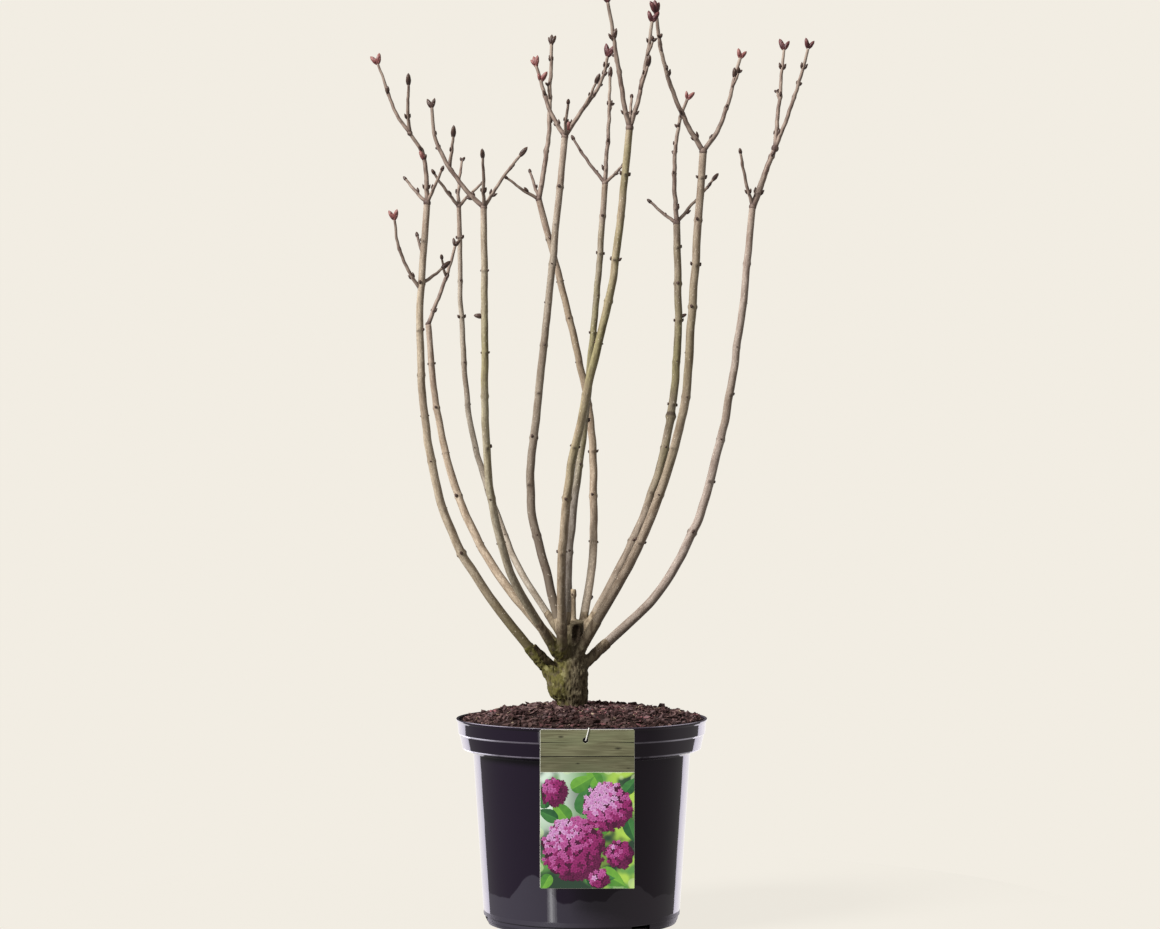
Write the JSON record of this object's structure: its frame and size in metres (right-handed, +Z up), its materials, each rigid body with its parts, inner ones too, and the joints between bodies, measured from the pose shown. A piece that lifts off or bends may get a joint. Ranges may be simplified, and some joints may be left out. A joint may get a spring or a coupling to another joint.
{
  "type": "lilac bush",
  "caption": "Bare winter lilac bush: upright boughs with budded twigs from one short trunk, in a black round nursery pot filled with soil, with a picture label hung on the rim.",
  "frame": {"origin": "centre of the pot's flat underside", "axes": "+Z up the plant; -Y towards someone who faces the label, +X to their right"},
  "size_m": [0.4869, 0.3593, 1.0126],
  "materials": {
    "pot_plastic": "gloss",
    "soil": "matte",
    "old_bark": "matte",
    "bough_bark": "satin",
    "twig_bark": "satin",
    "label": "satin",
    "tie": "satin"
  },
  "bodies": {
    "root": {"pot": "pot_plastic", "potting_soil": "soil", "label_card": "label", "label_tie": "tie", "trunk": "old_bark", "bough_far_left": "bough_bark", "bough_short_left": "bough_bark", "bough_thin_left": "bough_bark", "bough_front_left": "bough_bark", "bough_middle": "bough_bark", "bough_back_leaning": "bough_bark", "bough_back_middle": "bough_bark", "bough_front_leaning": "bough_bark", "bough_back_right": "bough_bark", "bough_front_right": "bough_bark", "bough_far_right": "bough_bark", "twigs_far_left": "twig_bark", "twigs_short_left": "twig_bark", "twigs_thin_left": "twig_bark", "twigs_front_left": "twig_bark", "twigs_middle": "twig_bark", "twigs_back_leaning": "twig_bark", "twigs_back_middle": "twig_bark", "twigs_front_leaning": "twig_bark", "twigs_back_right": "twig_bark", "twigs_front_right": "twig_bark", "twigs_far_right": "twig_bark", "side_twig_outer": "twig_bark", "side_twig_inner": "twig_bark", "side_twig_short": "twig_bark"}
  },
  "joints": []
}
